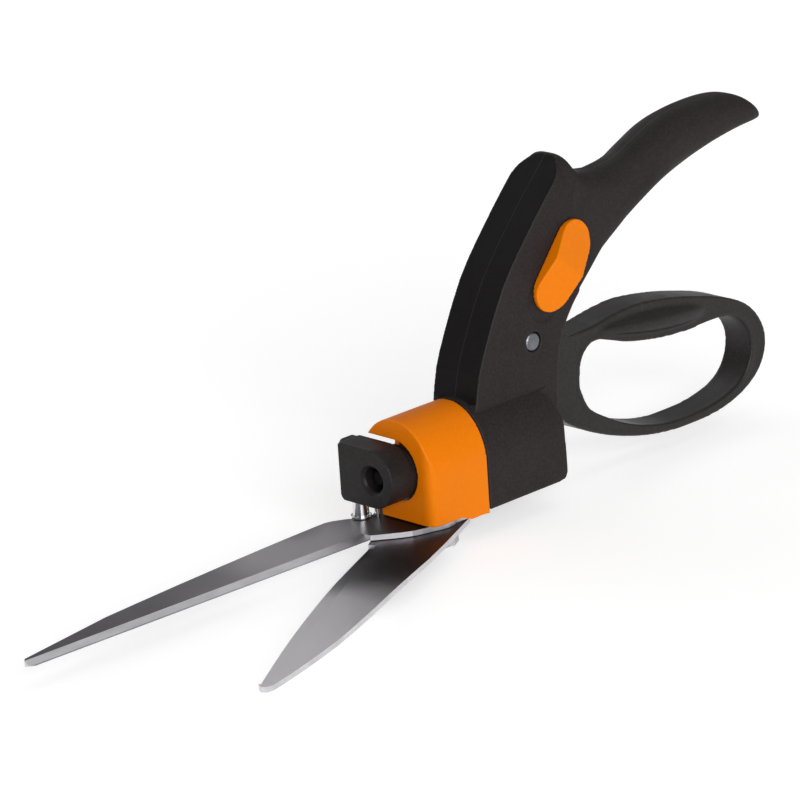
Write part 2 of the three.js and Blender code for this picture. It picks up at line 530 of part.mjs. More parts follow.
function upperBlade() {
  const { x, y } = BLADE_PIVOT;
  const tip = [[203.6, -2.6], [205.6, -3.6], [206.2, -5.2], [204.6, -6.9]];
  const far = [[160.7, -14.3], [122.7, -17.3], [80.8, -19.8], [58.6, -20.7], [47.4, -20.9]];
  // the drive pin sweeps along an open notch that leaves a rim at its right-hand end
  const rim = [[44.4, -20], [39.9, -17.4]];
  const notchEnd = arc(DRIVE_PIN.x, DRIVE_PIN.y, SLOT_HALF, -0.4, PIN_ANGLE + Math.PI, 6);
  const notch = arc(x, y, PIN_ARM - SLOT_HALF, PIN_ANGLE, PIN_ANGLE - BLADE_SWING - 0.12, 10);
  const near = smooth([[14.8, 15.3], [20, 16.6], [27, 14.6], [34.4, 12.1], [40.8, 7.8], [47.6, 2.2]], 10);
  const outline = [...tip, ...smooth(far, 8), ...rim, ...notchEnd, ...notch, [14.2, -15.3], [2.2, -13.5], [2.2, 12],
    [5, 15.2], ...near];
  let blade = prismZ([...outline].reverse(), UPPER.low, UPPER.high);
  blade = blade.subtract(grind([47, 1.7], [206, -3.2], 2.3, false, UPPER.high, true));
  blade = blade.subtract(rodZ(3.2, -1, 5, x, y));
  blade = blade.subtract(rodZ(1.3, -1, 5, STOP_PIN.x, STOP_PIN.y, SCREW_STEPS));
  return BLADE_SCREWS.reduce((sum, [sx, sy]) => sum.subtract(rodZ(1.7, -1, 5, sx, sy, SCREW_STEPS)), blade);
}

const STOP_PIN = { x: 30.9, y: -9.8 };
const stopPin = () => alongZ(turned([[1, 0.3], [1, 5.6], [0.7, 6]], SCREW_STEPS), STOP_PIN.x, STOP_PIN.y);

function lowerBlade() {
  const { x, y } = BLADE_PIVOT;
  const cutting = [[51.2, 5.3], [81.2, 20], [103.9, 32.4], [127.1, 45.9], [148.2, 59.1], [166, 70.7]];
  const tip = [[168.9, 73.2], [169.8, 75.2], [168.6, 76.9], [166, 77.3]];
  const outer = [[160.9, 76.2], [145.2, 71.9], [123.8, 65.1], [98.8, 55], [72, 43.4], [47.8, 33.6]];
  const heel = rounded([[33.2, 27], [4.6, 13.1, 4], [9.6, 3.2, 6], [31, -15.4]], 4);
  const tail = arc(DRIVE_PIN.x, DRIVE_PIN.y, 4.6, -2.4, 0.4, 8);
  const outline = [...smooth(cutting, 10), ...tip, ...smooth(outer, 10), ...heel, ...tail, [44, 0.6]];
  let blade = prismZ(outline, LOWER.low, LOWER.high);
  blade = blade.subtract(grind([50, 4.7], [168.4, 72.4], 3.2, true, -LOWER.low, false));
  return blade.subtract(rodZ(3.2, -5, 5, x, y)).subtract(rodZ(2.7, -5, 5, DRIVE_PIN.x, DRIVE_PIN.y));
}

const drivePin = () =>
  alongZ(turned([[3.6, -3.3], [3.9, -2.9], [3.9, -2.45], [2.4, -2.45], [2.4, 0.15], [DRIVE_PIN.r, 0.15],
    [DRIVE_PIN.r, 9.9], [SPIGOT_R, 9.9], [SPIGOT_R, 20.2]]), DRIVE_PIN.x, DRIVE_PIN.y);
const drivePinWasher = () =>
  rodZ(4, 2.45, 3.2, DRIVE_PIN.x, DRIVE_PIN.y).subtract(rodZ(DRIVE_PIN.r + 0.2, 0, 5, DRIVE_PIN.x, DRIVE_PIN.y));

const pivotBolt = () =>
  alongZ(turned([[2.2, -8.6], [2.9, -8], [2.9, 2.45], [4.2, 2.45], [4.2, 4], [3.2, 5]]), BLADE_PIVOT.x, BLADE_PIVOT.y);
const pivotWasher = () =>
  rodZ(5.6, -3.3, -2.45, BLADE_PIVOT.x, BLADE_PIVOT.y).subtract(rodZ(3.2, -9, 5, BLADE_PIVOT.x, BLADE_PIVOT.y));
const pivotNut = () =>
  rodZ(5.5, -7.2, -3.6, BLADE_PIVOT.x, BLADE_PIVOT.y, 6).subtract(rodZ(3.2, -9, 5, BLADE_PIVOT.x, BLADE_PIVOT.y));

// ---- lever's pivot and spring ------------------------------------------------------------------------
const pivotPin = () =>
  alongY(turned([[PIVOT_PIN_R, -10.9], [PIVOT_PIN_R, 10.7], [PIVOT_PIN_R - 0.5, 11.1]]), PIVOT.x, PIVOT.z);

// Torsion spring: turns about the pivot pin and two legs.
function returnSpring() {
  const turns = 3;
  const coil = 5;
  const wire = 0.6;
  const start = 4.35;
  const pitch = 1.26;
  const points = [9, 3].map((up) => new THREE.Vector3(PIVOT.x + coil, start, PIVOT.z + up));
  for (let i = 0; i <= turns * 12; i++) {
    const t = (2 * Math.PI * i) / 12;
    const along = start + (pitch * i) / 12;
    points.push(new THREE.Vector3(PIVOT.x + coil * Math.cos(t), along, PIVOT.z - coil * Math.sin(t)));
  }
  points.push(new THREE.Vector3(PIVOT.x + coil, start + pitch * turns, PIVOT.z - 7));
  const path = new THREE.CatmullRomCurve3(points);
  const section = asShape(arc(0, 0, wire, 0, 2 * Math.PI, 6).slice(0, 6));
  const steps = turns * 12 + 6;
  return solid(new THREE.ExtrudeGeometry(section, { steps, bevelEnabled: false, extrudePath: path }));
}

// A self-tapping screw that joins the shells from the right.
function shellScrew([x, z, half]) {
  const seat = half - 3.6 + GAP;
  const profile = [[1.9, -seat - 1.6], [2.7, -seat - 0.8], [2.7, -seat], [1.4, -seat], [1.4, 5.6], [0.6, 6.2]];
  return alongY(turned(profile, SCREW_STEPS), x, z);
}

// ---- the assembly ------------------------------------------------------------------------------------
const finish = (color, roughness, metalness) => new THREE.MeshStandardMaterial({ color, roughness, metalness });
const LOOKS = {
  black: finish(0x332f2f, 0.6, 0),
  orange: finish(0xf0870f, 0.4, 0),
  steel: finish(0x8c8f93, 0.3, 1),
  chrome: finish(0xc9ccd0, 0.15, 1),
  rivet: finish(0x7c8084, 0.4, 1),
  bronze: finish(0x9a7646, 0.45, 1),
};

const root = new THREE.Group();
root.position.set(-FOOT_CENTRE_X, 0, -FOOT_Z);

function add(name, look, made) {
  const { numProp, vertProperties, triVerts } = made.getMesh();
  const positions = new Float32Array((vertProperties.length / numProp) * 3);
  for (let i = 0; i * 3 < positions.length; i++)
    positions.set(vertProperties.subarray(i * numProp, i * numProp + 3), i * 3);
  const geometry = new THREE.BufferGeometry();
  geometry.setAttribute("position", new THREE.BufferAttribute(positions, 3));
  geometry.setIndex(new THREE.BufferAttribute(new Uint32Array(triVerts), 1));
  geometry.computeVertexNormals();
  const mesh = new THREE.Mesh(geometry, LOOKS[look]);
  mesh.name = name;
  root.add(mesh);
}

add("handle_shell_left", "black", handleShell(1));
add("handle_shell_right", "black", handleShell(-1));
SHELL_SCREWS.forEach((place, i) => add(`shell_screw_${i + 1}`, "steel", shellScrew(place)));
add("lever_pivot_pin", "rivet", pivotPin());
add("lever_return_spring", "steel", returnSpring());
add("head_spindle", "black", headSpindle());
add("rod_bush", "bronze", rodBush());
add("head_retaining_ring", "steel", retainingRing());
add("head_friction_washer", "steel", frictionWasher());
add("finger_lever", "black", leverLoop());
add("drive_rod", "steel", driveRod());
add("rod_cross_pin", "steel", rodY(2.1, -6.9, 6.9, CROSS_PIN_X, AXIS_Z));
add("head_housing", "orange", headHousing());
add("head_chassis", "black", headChassis());
add("upper_blade", "steel", upperBlade());
BLADE_SCREWS.forEach((place, i) => add(`blade_screw_${i + 1}`, "steel", bladeScrew(place)));
add("stop_pin", "chrome", stopPin());
add("blade_pivot_bolt", "steel", pivotBolt());
add("pivot_spring_washer", "steel", pivotWasher());
add("pivot_nut", "steel", pivotNut());
add("drive_yoke", "black", driveYoke());
add("yoke_washer", "steel", yokeWasher());
add("yoke_screw", "steel", yokeScrew());
add("lower_blade", "steel", lowerBlade());
add("drive_pin", "chrome", drivePin());
add("drive_pin_washer", "chrome", drivePinWasher());
add("lock_button", "orange", lockButton());
add("lock_plate", "black", lockPlate());
add("lock_screw", "steel", lockScrew());

export default root;
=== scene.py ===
import math

import bmesh
import bpy
import numpy as np
from mathutils import Matrix, Vector


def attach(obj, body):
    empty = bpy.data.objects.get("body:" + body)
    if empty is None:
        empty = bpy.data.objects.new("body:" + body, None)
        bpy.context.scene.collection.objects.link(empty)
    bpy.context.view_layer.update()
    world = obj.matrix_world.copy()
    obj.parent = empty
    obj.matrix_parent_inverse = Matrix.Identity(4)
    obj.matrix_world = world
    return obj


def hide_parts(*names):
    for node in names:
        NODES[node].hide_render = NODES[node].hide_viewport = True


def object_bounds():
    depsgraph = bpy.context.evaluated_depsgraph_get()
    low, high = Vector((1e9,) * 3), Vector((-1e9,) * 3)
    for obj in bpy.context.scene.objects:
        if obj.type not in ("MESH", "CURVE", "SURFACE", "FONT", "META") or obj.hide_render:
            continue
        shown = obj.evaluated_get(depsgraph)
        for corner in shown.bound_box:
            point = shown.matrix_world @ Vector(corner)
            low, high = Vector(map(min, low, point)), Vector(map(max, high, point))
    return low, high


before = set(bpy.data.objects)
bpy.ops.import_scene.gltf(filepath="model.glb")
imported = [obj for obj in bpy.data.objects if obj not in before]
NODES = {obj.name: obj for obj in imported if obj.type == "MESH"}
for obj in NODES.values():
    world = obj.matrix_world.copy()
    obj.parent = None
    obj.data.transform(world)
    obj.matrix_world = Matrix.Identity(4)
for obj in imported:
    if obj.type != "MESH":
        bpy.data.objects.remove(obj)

cad_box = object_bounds()
MM = 0.001

# Outlines are in mm from the joint of head and handle and from the plane where the blades shear.
# The row frame's origin is on the handle's foot, behind the one and above the other.
FOOT_TO_JOINT = 20.0  # mm along X
FOOT_Z = 1.5  # mm that the foot lies above the shear plane
ARCH_HALF, ARCH_RISE, ARCH_SPRING = 18.2, 20.9, 20.1 - FOOT_Z  # mm, the arch of head and block


def row(x, y, z):
    """From mm about the joint and the shear plane to metres in the row frame."""
    return ((x + FOOT_TO_JOINT) * MM, y * MM, (z - FOOT_Z) * MM)


# ---- objects and meshes ---------------------------------------------------------------------------
def placed(name, data):
    """A new object of that data, in the scene."""
    obj = bpy.data.objects.new(name, data)
    bpy.context.scene.collection.objects.link(obj)
    return obj


def mesh_of(bm, name):
    """A new mesh of that name; the bmesh is used up."""
    mesh = bpy.data.meshes.new(name)
    bm.to_mesh(mesh)
    bm.free()
    return mesh


def outcome(obj):
    """A new mesh: the object's own with its modifiers applied."""
    return bpy.data.meshes.new_from_object(obj.evaluated_get(bpy.context.evaluated_depsgraph_get()))


def arrays(mesh):
    """The mesh's points and the two ends of each edge."""
    co = np.empty(len(mesh.vertices) * 3)
    mesh.vertices.foreach_get("co", co)
    edges = np.empty(len(mesh.edges) * 2, dtype=np.int64)
    mesh.edges.foreach_get("vertices", edges)
    return co.reshape(-1, 3), edges.reshape(-1, 2)


def put(mesh, co):
    mesh.vertices.foreach_set("co", co.ravel())
    mesh.update()


def neighbour_mean(co, edges, degree):
    total = np.empty_like(co)
    for k in range(3):
        total[:, k] = np.bincount(edges[:, 0], co[edges[:, 1], k], len(co))
        total[:, k] += np.bincount(edges[:, 1], co[edges[:, 0], k], len(co))
    return total / degree[:, None]


PULL_IN, PUSH_OUT = 0.5, 0.51  # shares of the way to the neighbours' mean; the second undoes the shrinking


def relax(mesh, rounds, weight=None):
    """Smooths the mesh without shrinking it; weight takes points in mm and gives 0 to 1 for each."""
    co, edges = arrays(mesh)
    degree = np.maximum(1, np.bincount(edges.ravel(), minlength=len(co)))
    share = 1.0 if weight is None else weight(co / MM)[:, None]
    for _ in range(rounds):
        co += PULL_IN * share * (neighbour_mean(co, edges, degree) - co)
        co -= PUSH_OUT * share * (neighbour_mean(co, edges, degree) - co)
    put(mesh, co)


def voxelised(name, meshes, voxel):
    """One new object: these meshes joined and turned into an even skin of quads of that size, in mm."""
    bm = bmesh.new()
    for mesh in meshes:
        bm.from_mesh(mesh)
    obj = placed(name, mesh_of(bm, name))
    modifier = obj.modifiers.new("skin", "REMESH")
    modifier.mode = "VOXEL"
    modifier.voxel_size = voxel * MM
    skin = outcome(obj)
    obj.modifiers.clear()
    obj.data = skin
    skin.name = name
    for polygon in skin.polygons:
        polygon.use_smooth = True
    skin.materials.clear()
    return obj


def smoothstep(a, b, x):
    """0 up to a and 1 from b on, with a smooth rise between; a may lie above b."""
    t = np.clip((x - a) / (b - a), 0.0, 1.0)
    return t * t * (3 - 2 * t)


ARCH_NEAR, ARCH_AT, ARCH_PAST = 0.955, 0.985, 1.05  # in sizes of the arch: snapping sets in, is full, ends
SNAP_FADE = 1.5  # mm over which it sets in at each end


def snap_to_arch(mesh, x0, x1):
    """Puts points that lie near the arch's outer surface exactly on it, between x0 and x1 in mm."""
    co, _ = arrays(mesh)
    p = co / MM
    up = np.maximum(0.0, p[:, 2] - ARCH_SPRING)
    reach = np.sqrt((p[:, 1] / ARCH_HALF) ** 2 + (up / ARCH_RISE) ** 2)
    near = smoothstep(ARCH_NEAR, ARCH_AT, reach) * (reach < ARCH_PAST) * (p[:, 2] > ARCH_SPRING)
    near *= smoothstep(x0, x0 + SNAP_FADE, p[:, 0]) * smoothstep(-x1, -x1 + SNAP_FADE, -p[:, 0])
    scale = 1 + near * (1 / np.maximum(reach, 0.5) - 1)
    p[:, 1] *= scale
    p[:, 2] = np.where(up > 0, ARCH_SPRING + up * scale, p[:, 2])
    put(mesh, p * MM)


def closed_cut(bm, point, outward, dist=0.0):
    """Cuts away what lies beyond a plane and closes the cut."""
    whole = bm.verts[:] + bm.edges[:] + bm.faces[:]
    result = bmesh.ops.bisect_plane(
        bm, geom=whole, plane_co=point, plane_no=outward, clear_outer=True, dist=dist
    )
    rim = [e for e in result["geom_cut"] if isinstance(e, bmesh.types.BMEdge)]
    bmesh.ops.triangle_fill(bm, edges=rim, use_beauty=False, normal=outward)


def halves(obj, names, cut):
    """Splits a solid into a left and a right object, each closed, cut mm away from the plane Y = 0."""
    made = []
    for name, side in zip(names, (1, -1)):
        bm = bmesh.new()
        bm.from_mesh(obj.data)
        seam_y = side * cut * MM
        closed_cut(bm, (0, seam_y, 0), (0, -side, 0), dist=1e-7)
        for face in bm.faces:
            on_seam = all(abs(v.co.y - seam_y) < 1e-6 for v in face.verts)
            face.smooth = len(face.verts) > 3 or not on_seam
        bmesh.ops.recalc_face_normals(bm, faces=bm.faces)
        made.append(placed(name, mesh_of(bm, name)))
    bpy.data.objects.remove(obj)
    return made


def in_front(mesh, x):
    """The mesh's part in front of that x, closed."""
    bm = bmesh.new()
    bm.from_mesh(mesh)
    closed_cut(bm, (row(x, 0, 0)[0], 0, 0), (-1, 0, 0))
    return mesh_of(bm, "cut")


def carved(mesh, operation, cutter):
    """The mesh after one boolean with a cutter, which is a bmesh."""
    pair = [placed("carved", mesh), placed("cutter", mesh_of(cutter, "cutter"))]
    cut = pair[0].modifiers.new("cut", "BOOLEAN")
    cut.operation = operation
    cut.solver = "EXACT"
    cut.object = pair[1]
    made = outcome(pair[0])
    for obj in pair:
        bpy.data.objects.remove(obj)
    return made


def block_from(x):
    """A block that holds everything in front of that x."""
    bm = bmesh.new()
    side = 400 * MM
    place = Matrix.Translation((row(x, 0, 0)[0] + side / 2, 0, 0))
    bmesh.ops.create_cube(bm, size=side, matrix=place)
    return bm


def spline(points, count):
    """Catmull-Rom curve through (x, z) points, in count steps."""
    p = np.array(points, float)
    last = len(p) - 1
    made = []
    for s in np.linspace(0, last, count + 1):
        i = min(int(s), last - 1)
        t = s - i
        a, b, c, d = p[max(i - 1, 0)], p[i], p[i + 1], p[min(i + 2, last)]
        u, v = (c - a) / 2, (d - b) / 2
        made.append((2 * b - 2 * c + u + v) * t**3 + (3 * c - 3 * b - 2 * u - v) * t**2 + u * t + b)
    return np.array(made)


def slab(outlines, y0, y1):
    """Closed mesh: the area between outline loops in (x, z), from y0 to y1."""
    bm = bmesh.new()
    rims = []
    for outline in outlines:
        verts = [bm.verts.new(row(x, y0, z)) for x, z in outline]
        rims += [bm.edges.new((a, b)) for a, b in zip(verts, verts[1:] + verts[:1])]
    bmesh.ops.triangle_fill(bm, edges=rims, use_beauty=True, normal=(0, -1, 0))
    faces = bmesh.ops.extrude_face_region(bm, geom=bm.faces[:])["geom"]
    moved = [v for v in faces if isinstance(v, bmesh.types.BMVert)]
    bmesh.ops.translate(bm, verts=moved, vec=(0, (y1 - y0) * MM, 0))
    bmesh.ops.recalc_face_normals(bm, faces=bm.faces)
    return mesh_of(bm, "slab")


def section(top, bottom, half, power, steps, foot=0.0):
    """A rounded oblong between two (x, z) points; foot above power makes its lower half squarer."""
    t = np.linspace(0, 2 * math.pi, steps, endpoint=False)
    power = np.where(np.sin(t) < 0, max(foot, power), power)
    across = half * np.sign(np.cos(t)) * np.abs(np.cos(t)) ** (2 / power)
    rise = np.sign(np.sin(t)) * np.abs(np.sin(t)) ** (2 / power)
    centre, up = (top + bottom) / 2, (top - bottom) / 2
    return [row(centre[0] + up[0] * h, y, centre[1] + up[1] * h) for y, h in zip(across, rise)]


def loft(rings):
    """Closed mesh through rings of equal length."""
    bm = bmesh.new()
    loops = [[bm.verts.new(p) for p in ring] for ring in rings]
    for low, high in zip(loops, loops[1:]):
        for i in range(len(low)):
            j = (i + 1) % len(low)
            bm.faces.new((low[i], high[i], high[j], low[j]))
    bm.faces.new(loops[0])
    bm.faces.new(loops[-1][::-1])
    bmesh.ops.recalc_face_normals(bm, faces=bm.faces)
    return mesh_of(bm, "loft")


def crisp(obj, width, segments=2, angle=32):
    """A small true bevel on the edges of a solid, and smooth shading between them."""
    for polygon in obj.data.polygons:
        polygon.use_smooth = True
    bevel = obj.modifiers.new("edge", "BEVEL")
    bevel.width = width * MM
    bevel.segments = segments
    bevel.limit_method = "ANGLE"
    bevel.angle_limit = math.radians(angle)
    bevel.use_clamp_overlap = True
    bevel.harden_normals = True


# ---- materials ------------------------------------------------------------------------------------
def material(name, colour, rough, metal=0.0, specular=0.5):
    made = bpy.data.materials.new(name)
    made.use_nodes = True
    shader = made.node_tree.nodes["Principled BSDF"]
    shader.inputs["Base Color"].default_value = (*colour, 1)
    shader.inputs["Roughness"].default_value = rough
    shader.inputs["Metallic"].default_value = metal
    shader.inputs["Specular IOR Level"].default_value = specular
    return made, made.node_tree, shader


def noise(tree, scale, detail=2.0, stretch=(1, 1, 1), rough=0.5):
    where = tree.nodes.new("ShaderNodeTexCoord")
    turn = tree.nodes.new("ShaderNodeMapping")
    turn.inputs["Scale"].default_value = stretch
    made = tree.nodes.new("ShaderNodeTexNoise")
    made.inputs["Scale"].default_value = scale
    made.inputs["Detail"].default_value = detail
    made.inputs["Roughness"].default_value = rough
    tree.links.new(where.outputs["Object"], turn.inputs["Vector"])
    tree.links.new(turn.outputs["Vector"], made.inputs["Vector"])
    return made.outputs["Fac"]


def spread(tree, value, low, high, start=0.3, end=0.7):
    """low to high as the value goes from start to end."""
    made = tree.nodes.new("ShaderNodeMapRange")
    made.inputs["From Min"].default_value = start
    made.inputs["From Max"].default_value = end
    made.inputs["To Min"].default_value = low
    made.inputs["To Max"].default_value = high
    tree.links.new(value, made.inputs["Value"])
    return made.outputs["Result"]


def blended(tree, fac, low, high):
    """Colour between low and high by fac; either may be a colour or a socket."""
    made = tree.nodes.new("ShaderNodeMix")
    made.data_type = "RGBA"
    tree.links.new(fac, made.inputs[0])
    for socket, value in ((made.inputs[6], low), (made.inputs[7], high)):
        if isinstance(value, tuple):
            socket.default_value = (*value, 1)
        else:
            tree.links.new(value, socket)
    return made.outputs[2]


def combined(tree, operation, first, second):
    made = tree.nodes.new("ShaderNodeMath")
    made.operation = operation
    tree.links.new(first, made.inputs[0])
    tree.links.new(second, made.inputs[1])
    return made.outputs[0]


def bumped(tree, shader, height, distance):
    made = tree.nodes.new("ShaderNodeBump")
    made.inputs["Strength"].default_value = 1.0
    made.inputs["Distance"].default_value = distance
    tree.links.new(height, made.inputs["Height"])
    tree.links.new(made.outputs["Normal"], shader.inputs["Normal"])


def convex_edges(tree):
    """1 on convex edges and 0 on flat stretches."""
    geometry = tree.nodes.new("ShaderNodeNewGeometry")
    return spread(tree, geometry.outputs["Pointiness"], 0.0, 1.0, 0.505, 0.56)


DRIFT_SCALE, PATCH_SCALE = 45, 60  # noise scales of the plastic's slow tone and of its gloss
EDGE_HIGHLIGHT, EDGE_POLISH = 0.5, 0.12  # how far an edge is painted towards the lighter tone as a painted highlight, and how much smoother it is


def moulded_plastic(name, dark, light, speck_and_highlight, rough, grain=0.00003, grain_scale=1800.0, specular=0.25):
    """Moulded plastic: spark-eroded grain, a slight drift of tone, a painted highlight that lightens the convex
    edges, and glossier edges.
    """
    made, tree, shader = material(name, dark, rough, specular=specular)
    tone = blended(tree, spread(tree, noise(tree, DRIFT_SCALE, 4), 0, 1), dark, light)
    speck = spread(tree, noise(tree, grain_scale * 0.6, 1), 0.0, 0.35, 0.42, 0.68)
    tone = blended(tree, speck, tone, speck_and_highlight)
    edge = convex_edges(tree)
    # painted highlight: convex edges are lightened towards the lighter speck tone
    tone = blended(tree, spread(tree, edge, 0.0, EDGE_HIGHLIGHT, 0.0, 1.0), tone, speck_and_highlight)
    tree.links.new(tone, shader.inputs["Base Color"])
    patchy = spread(tree, noise(tree, PATCH_SCALE, 3), rough - 0.06, rough + 0.07)
    polish = spread(tree, edge, 0.0, EDGE_POLISH, 0.0, 1.0)
    tree.links.new(combined(tree, "SUBTRACT", patchy, polish), shader.inputs["Roughness"])
    bumped(tree, shader, noise(tree, grain_scale, 2), grain)
    return made


SCRATCH_TONE = 0.55  # of the dark tone


def steel(name, dark, light, rough, stretch, scale=900.0, groove=0.000006, tone_scale=14.0):
    """Ground or drawn steel: fine scratches along one direction and slow changes of tone."""
    made, tree, shader = material(name, light, rough, 1.0)
    slow = spread(tree, noise(tree, tone_scale, 2), 0, 1, 0.35, 0.65)
    tone = blended(tree, slow, dark, light)
    scratch = noise(tree, scale, 3, stretch, 0.6)
    tone = blended(tree, spread(tree, scratch, 0.0, 0.28), tone, tuple(c * SCRATCH_TONE for c in dark))
    tree.links.new(tone, shader.inputs["Base Color"])
    tree.links.new(spread(tree, scratch, rough - 0.07, rough + 0.1), shader.inputs["Roughness"])
    bumped(tree, shader, scratch, groove)
    return made


REFLECTION_RAMP_LENGTH = 250.0  # mm of X that the blades' painted reflection, in dark and bright bands, covers
REFLECTION_RAMP_WANDER = 0.05  # share of that by which it shifts to and fro
STEEL_TINT = (1.0, 0.985, 1.025)
MOTTLE_TONE = (0.5, 0.51, 0.52)


def blade_steel(name, reflection_stops, rough):
    """Rolled and brushed blade stock with a painted reflection: dark and bright bands of grey along the blade;
    each stop is (x in mm, grey).
    """
    made, tree, shader = material(name, (0.3, 0.3, 0.3), rough, 1.0)
    shader.inputs["Specular Tint"].default_value = (0.42, 0.4, 0.4, 1)  # dull at a shallow angle
    where = tree.nodes.new("ShaderNodeTexCoord")
    parts = tree.nodes.new("ShaderNodeSeparateXYZ")
    tree.links.new(where.outputs["Object"], parts.inputs[0])
    along = spread(tree, parts.outputs["X"], 0.0, 1.0, 0.0, REFLECTION_RAMP_LENGTH * MM)
    wander = spread(tree, noise(tree, 22, 1), -REFLECTION_RAMP_WANDER, REFLECTION_RAMP_WANDER)
    # painted reflection: the grey follows the position along the blade
    ramp = tree.nodes.new("ShaderNodeValToRGB")
    ramp.color_ramp.interpolation = "B_SPLINE"
    while len(ramp.color_ramp.elements) < len(reflection_stops):
        ramp.color_ramp.elements.new(0.5)
    for element, (x, grey) in zip(ramp.color_ramp.elements, reflection_stops):
        element.position = x / REFLECTION_RAMP_LENGTH
        element.color = (*(grey * tint for tint in STEEL_TINT), 1)
    tree.links.new(combined(tree, "ADD", along, wander), ramp.inputs[0])
    mottle = noise(tree, 700, 3, (1, 1, 1), 0.6)
    tone = blended(tree, spread(tree, mottle, 0.0, 0.06), ramp.outputs[0], MOTTLE_TONE)
    tree.links.new(tone, shader.inputs["Base Color"])
    brush = noise(tree, 1200, 2, (0.2, 1, 1), 0.5)
    tree.links.new(spread(tree, brush, rough - 0.03, rough + 0.05), shader.inputs["Roughness"])
    bumped(tree, shader, mottle, 0.000002)
    return made


EVEN = (1, 1, 1)  # scratches without a direction
LOOKS = {
    "shell": moulded_plastic(
        "shell plastic",
        dark=(0.0142, 0.0108, 0.0108), light=(0.0172, 0.0134, 0.0134), speck_and_highlight=(0.03, 0.0262, 0.0262),
        rough=0.6, specular=0.12,
    ),
    "band": moulded_plastic(
        "smooth shell band",
        dark=(0.0048, 0.004, 0.0041), light=(0.0058, 0.0049, 0.005), speck_and_highlight=(0.01, 0.009, 0.009),
        rough=0.5, grain=0.00001, specular=0.08,
    ),
    "lever": moulded_plastic(
        "lever plastic",
        dark=(0.0108, 0.0084, 0.0084), light=(0.0136, 0.0108, 0.0108), speck_and_highlight=(0.028, 0.0245, 0.0245),
        rough=0.38, specular=0.2,
    ),
    "yoke": moulded_plastic(
        "yoke plastic",
        dark=(0.0082, 0.0069, 0.0067), light=(0.0104, 0.0089, 0.0086), speck_and_highlight=(0.022, 0.02, 0.0195),
        rough=0.42, specular=0.16,
    ),
    "inner": moulded_plastic(
        "inner plastic", dark=(0.02, 0.02, 0.02), light=(0.03, 0.03, 0.03), speck_and_highlight=(0.05, 0.05, 0.05), rough=0.6
    ),
    "orange": moulded_plastic(
        "orange plastic",
        dark=(0.61, 0.146, 0.0006), light=(0.63, 0.151, 0.0006), speck_and_highlight=(0.67, 0.168, 0.0012),
        rough=0.42, grain=0.000012, grain_scale=1300.0, specular=0.08,
    ),
    # painted reflection: the upper blade is darkest near its heel, where the dark head is mirrored, with bright
    # bands further along; the lower blade has its own dark and bright bands
    "upper": blade_steel(
        "upper blade steel", ((0, 0.015), (60, 0.02), (84, 0.6), (108, 0.55), (140, 0.3), (205, 0.13)), 0.36
    ),
    "lower": blade_steel(
        "lower blade steel", ((0, 0.6), (46, 0.06), (90, 0.05), (112, 0.98), (180, 0.98)), 0.34
    ),
    "ground": steel(
        "whetted steel", (0.66, 0.65, 0.68), (0.72, 0.71, 0.74), 0.4, (0.3, 1, 1), scale=300.0, groove=0.0000005
    ),
    "rod": steel("drawn steel", (0.35, 0.35, 0.36), (0.5, 0.5, 0.51), 0.28, (0.05, 1, 1)),
    "screw": steel(
        "zinc plate", (0.32, 0.32, 0.33), (0.48, 0.48, 0.49), 0.32, EVEN,
        scale=1600.0, groove=0.000004, tone_scale=60.0,
    ),
    "dark_screw": steel(
        "blackened screw", (0.008, 0.008, 0.008), (0.014, 0.014, 0.015), 0.6, EVEN,
        scale=1600.0, groove=0.000004, tone_scale=60.0,
    ),
    "spring": steel(
        "spring steel", (0.2, 0.2, 0.21), (0.33, 0.33, 0.34), 0.35, EVEN,
        scale=1600.0, groove=0.000004, tone_scale=60.0,
    ),
    "rivet": steel(
        "dull rivet", (0.14, 0.145, 0.155), (0.2, 0.21, 0.225), 0.42, EVEN,
        scale=1200.0, groove=0.000006, tone_scale=120.0,
    ),
    "chrome": steel(
        "bright chrome", (0.62, 0.63, 0.65), (0.78, 0.79, 0.81), 0.13, (1, 1, 0.1),
        scale=1500.0, groove=0.000001, tone_scale=80.0,
    ),
    "bronze": steel(
        "sintered bronze", (0.28, 0.17, 0.07), (0.42, 0.27, 0.12), 0.5, EVEN,
        scale=2200.0, groove=0.00001, tone_scale=90.0,
    ),
}


def finished(made, node, body, look):
    made.data.materials.append(LOOKS[look])
    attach(made, body)
    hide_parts(node)


# ---- nodes that keep their CAD shape --------------------------------------------------------------
CARRIED = {
    "rod": ["drive_rod", "rod_cross_pin"],
    "inner": ["head_spindle", "head_chassis", "lock_plate"],
    "spring": ["lever_return_spring", "head_retaining_ring", "head_friction_washer", "pivot_spring_washer"],
    "bronze": ["rod_bush"],
    "rivet": ["lever_pivot_pin"],
    "screw": [f"shell_screw_{i}" for i in range(1, 7)]
    + [f"blade_screw_{i}" for i in range(1, 4)]
    + ["blade_pivot_bolt", "pivot_nut", "lock_screw"],
    "dark_screw": ["yoke_washer", "yoke_screw"],
}
CARRIED_BEVEL = 0.18  # mm

for look, names in CARRIED.items():
    for name in names:
        NODES[name].data.materials.clear()
        NODES[name].data.materials.append(LOOKS[look])
        crisp(NODES[name], CARRIED_BEVEL)

# ---- the handle's two shells: the CAD shells in front, the horn and the crest's back behind ---------
GRIP_HALF = 11.3
HORN_FROM = -60.5  # behind this the handle's skin is the horn's alone
CAD_SEAM = 0.15  # mm from the middle plane to each CAD shell's seam face
SEAM_OVERLAP = 0.2  # mm that the face is moved past that plane, so that the two shells merge
SEAM_GAP = 0.012  # mm from the middle plane to each finished shell


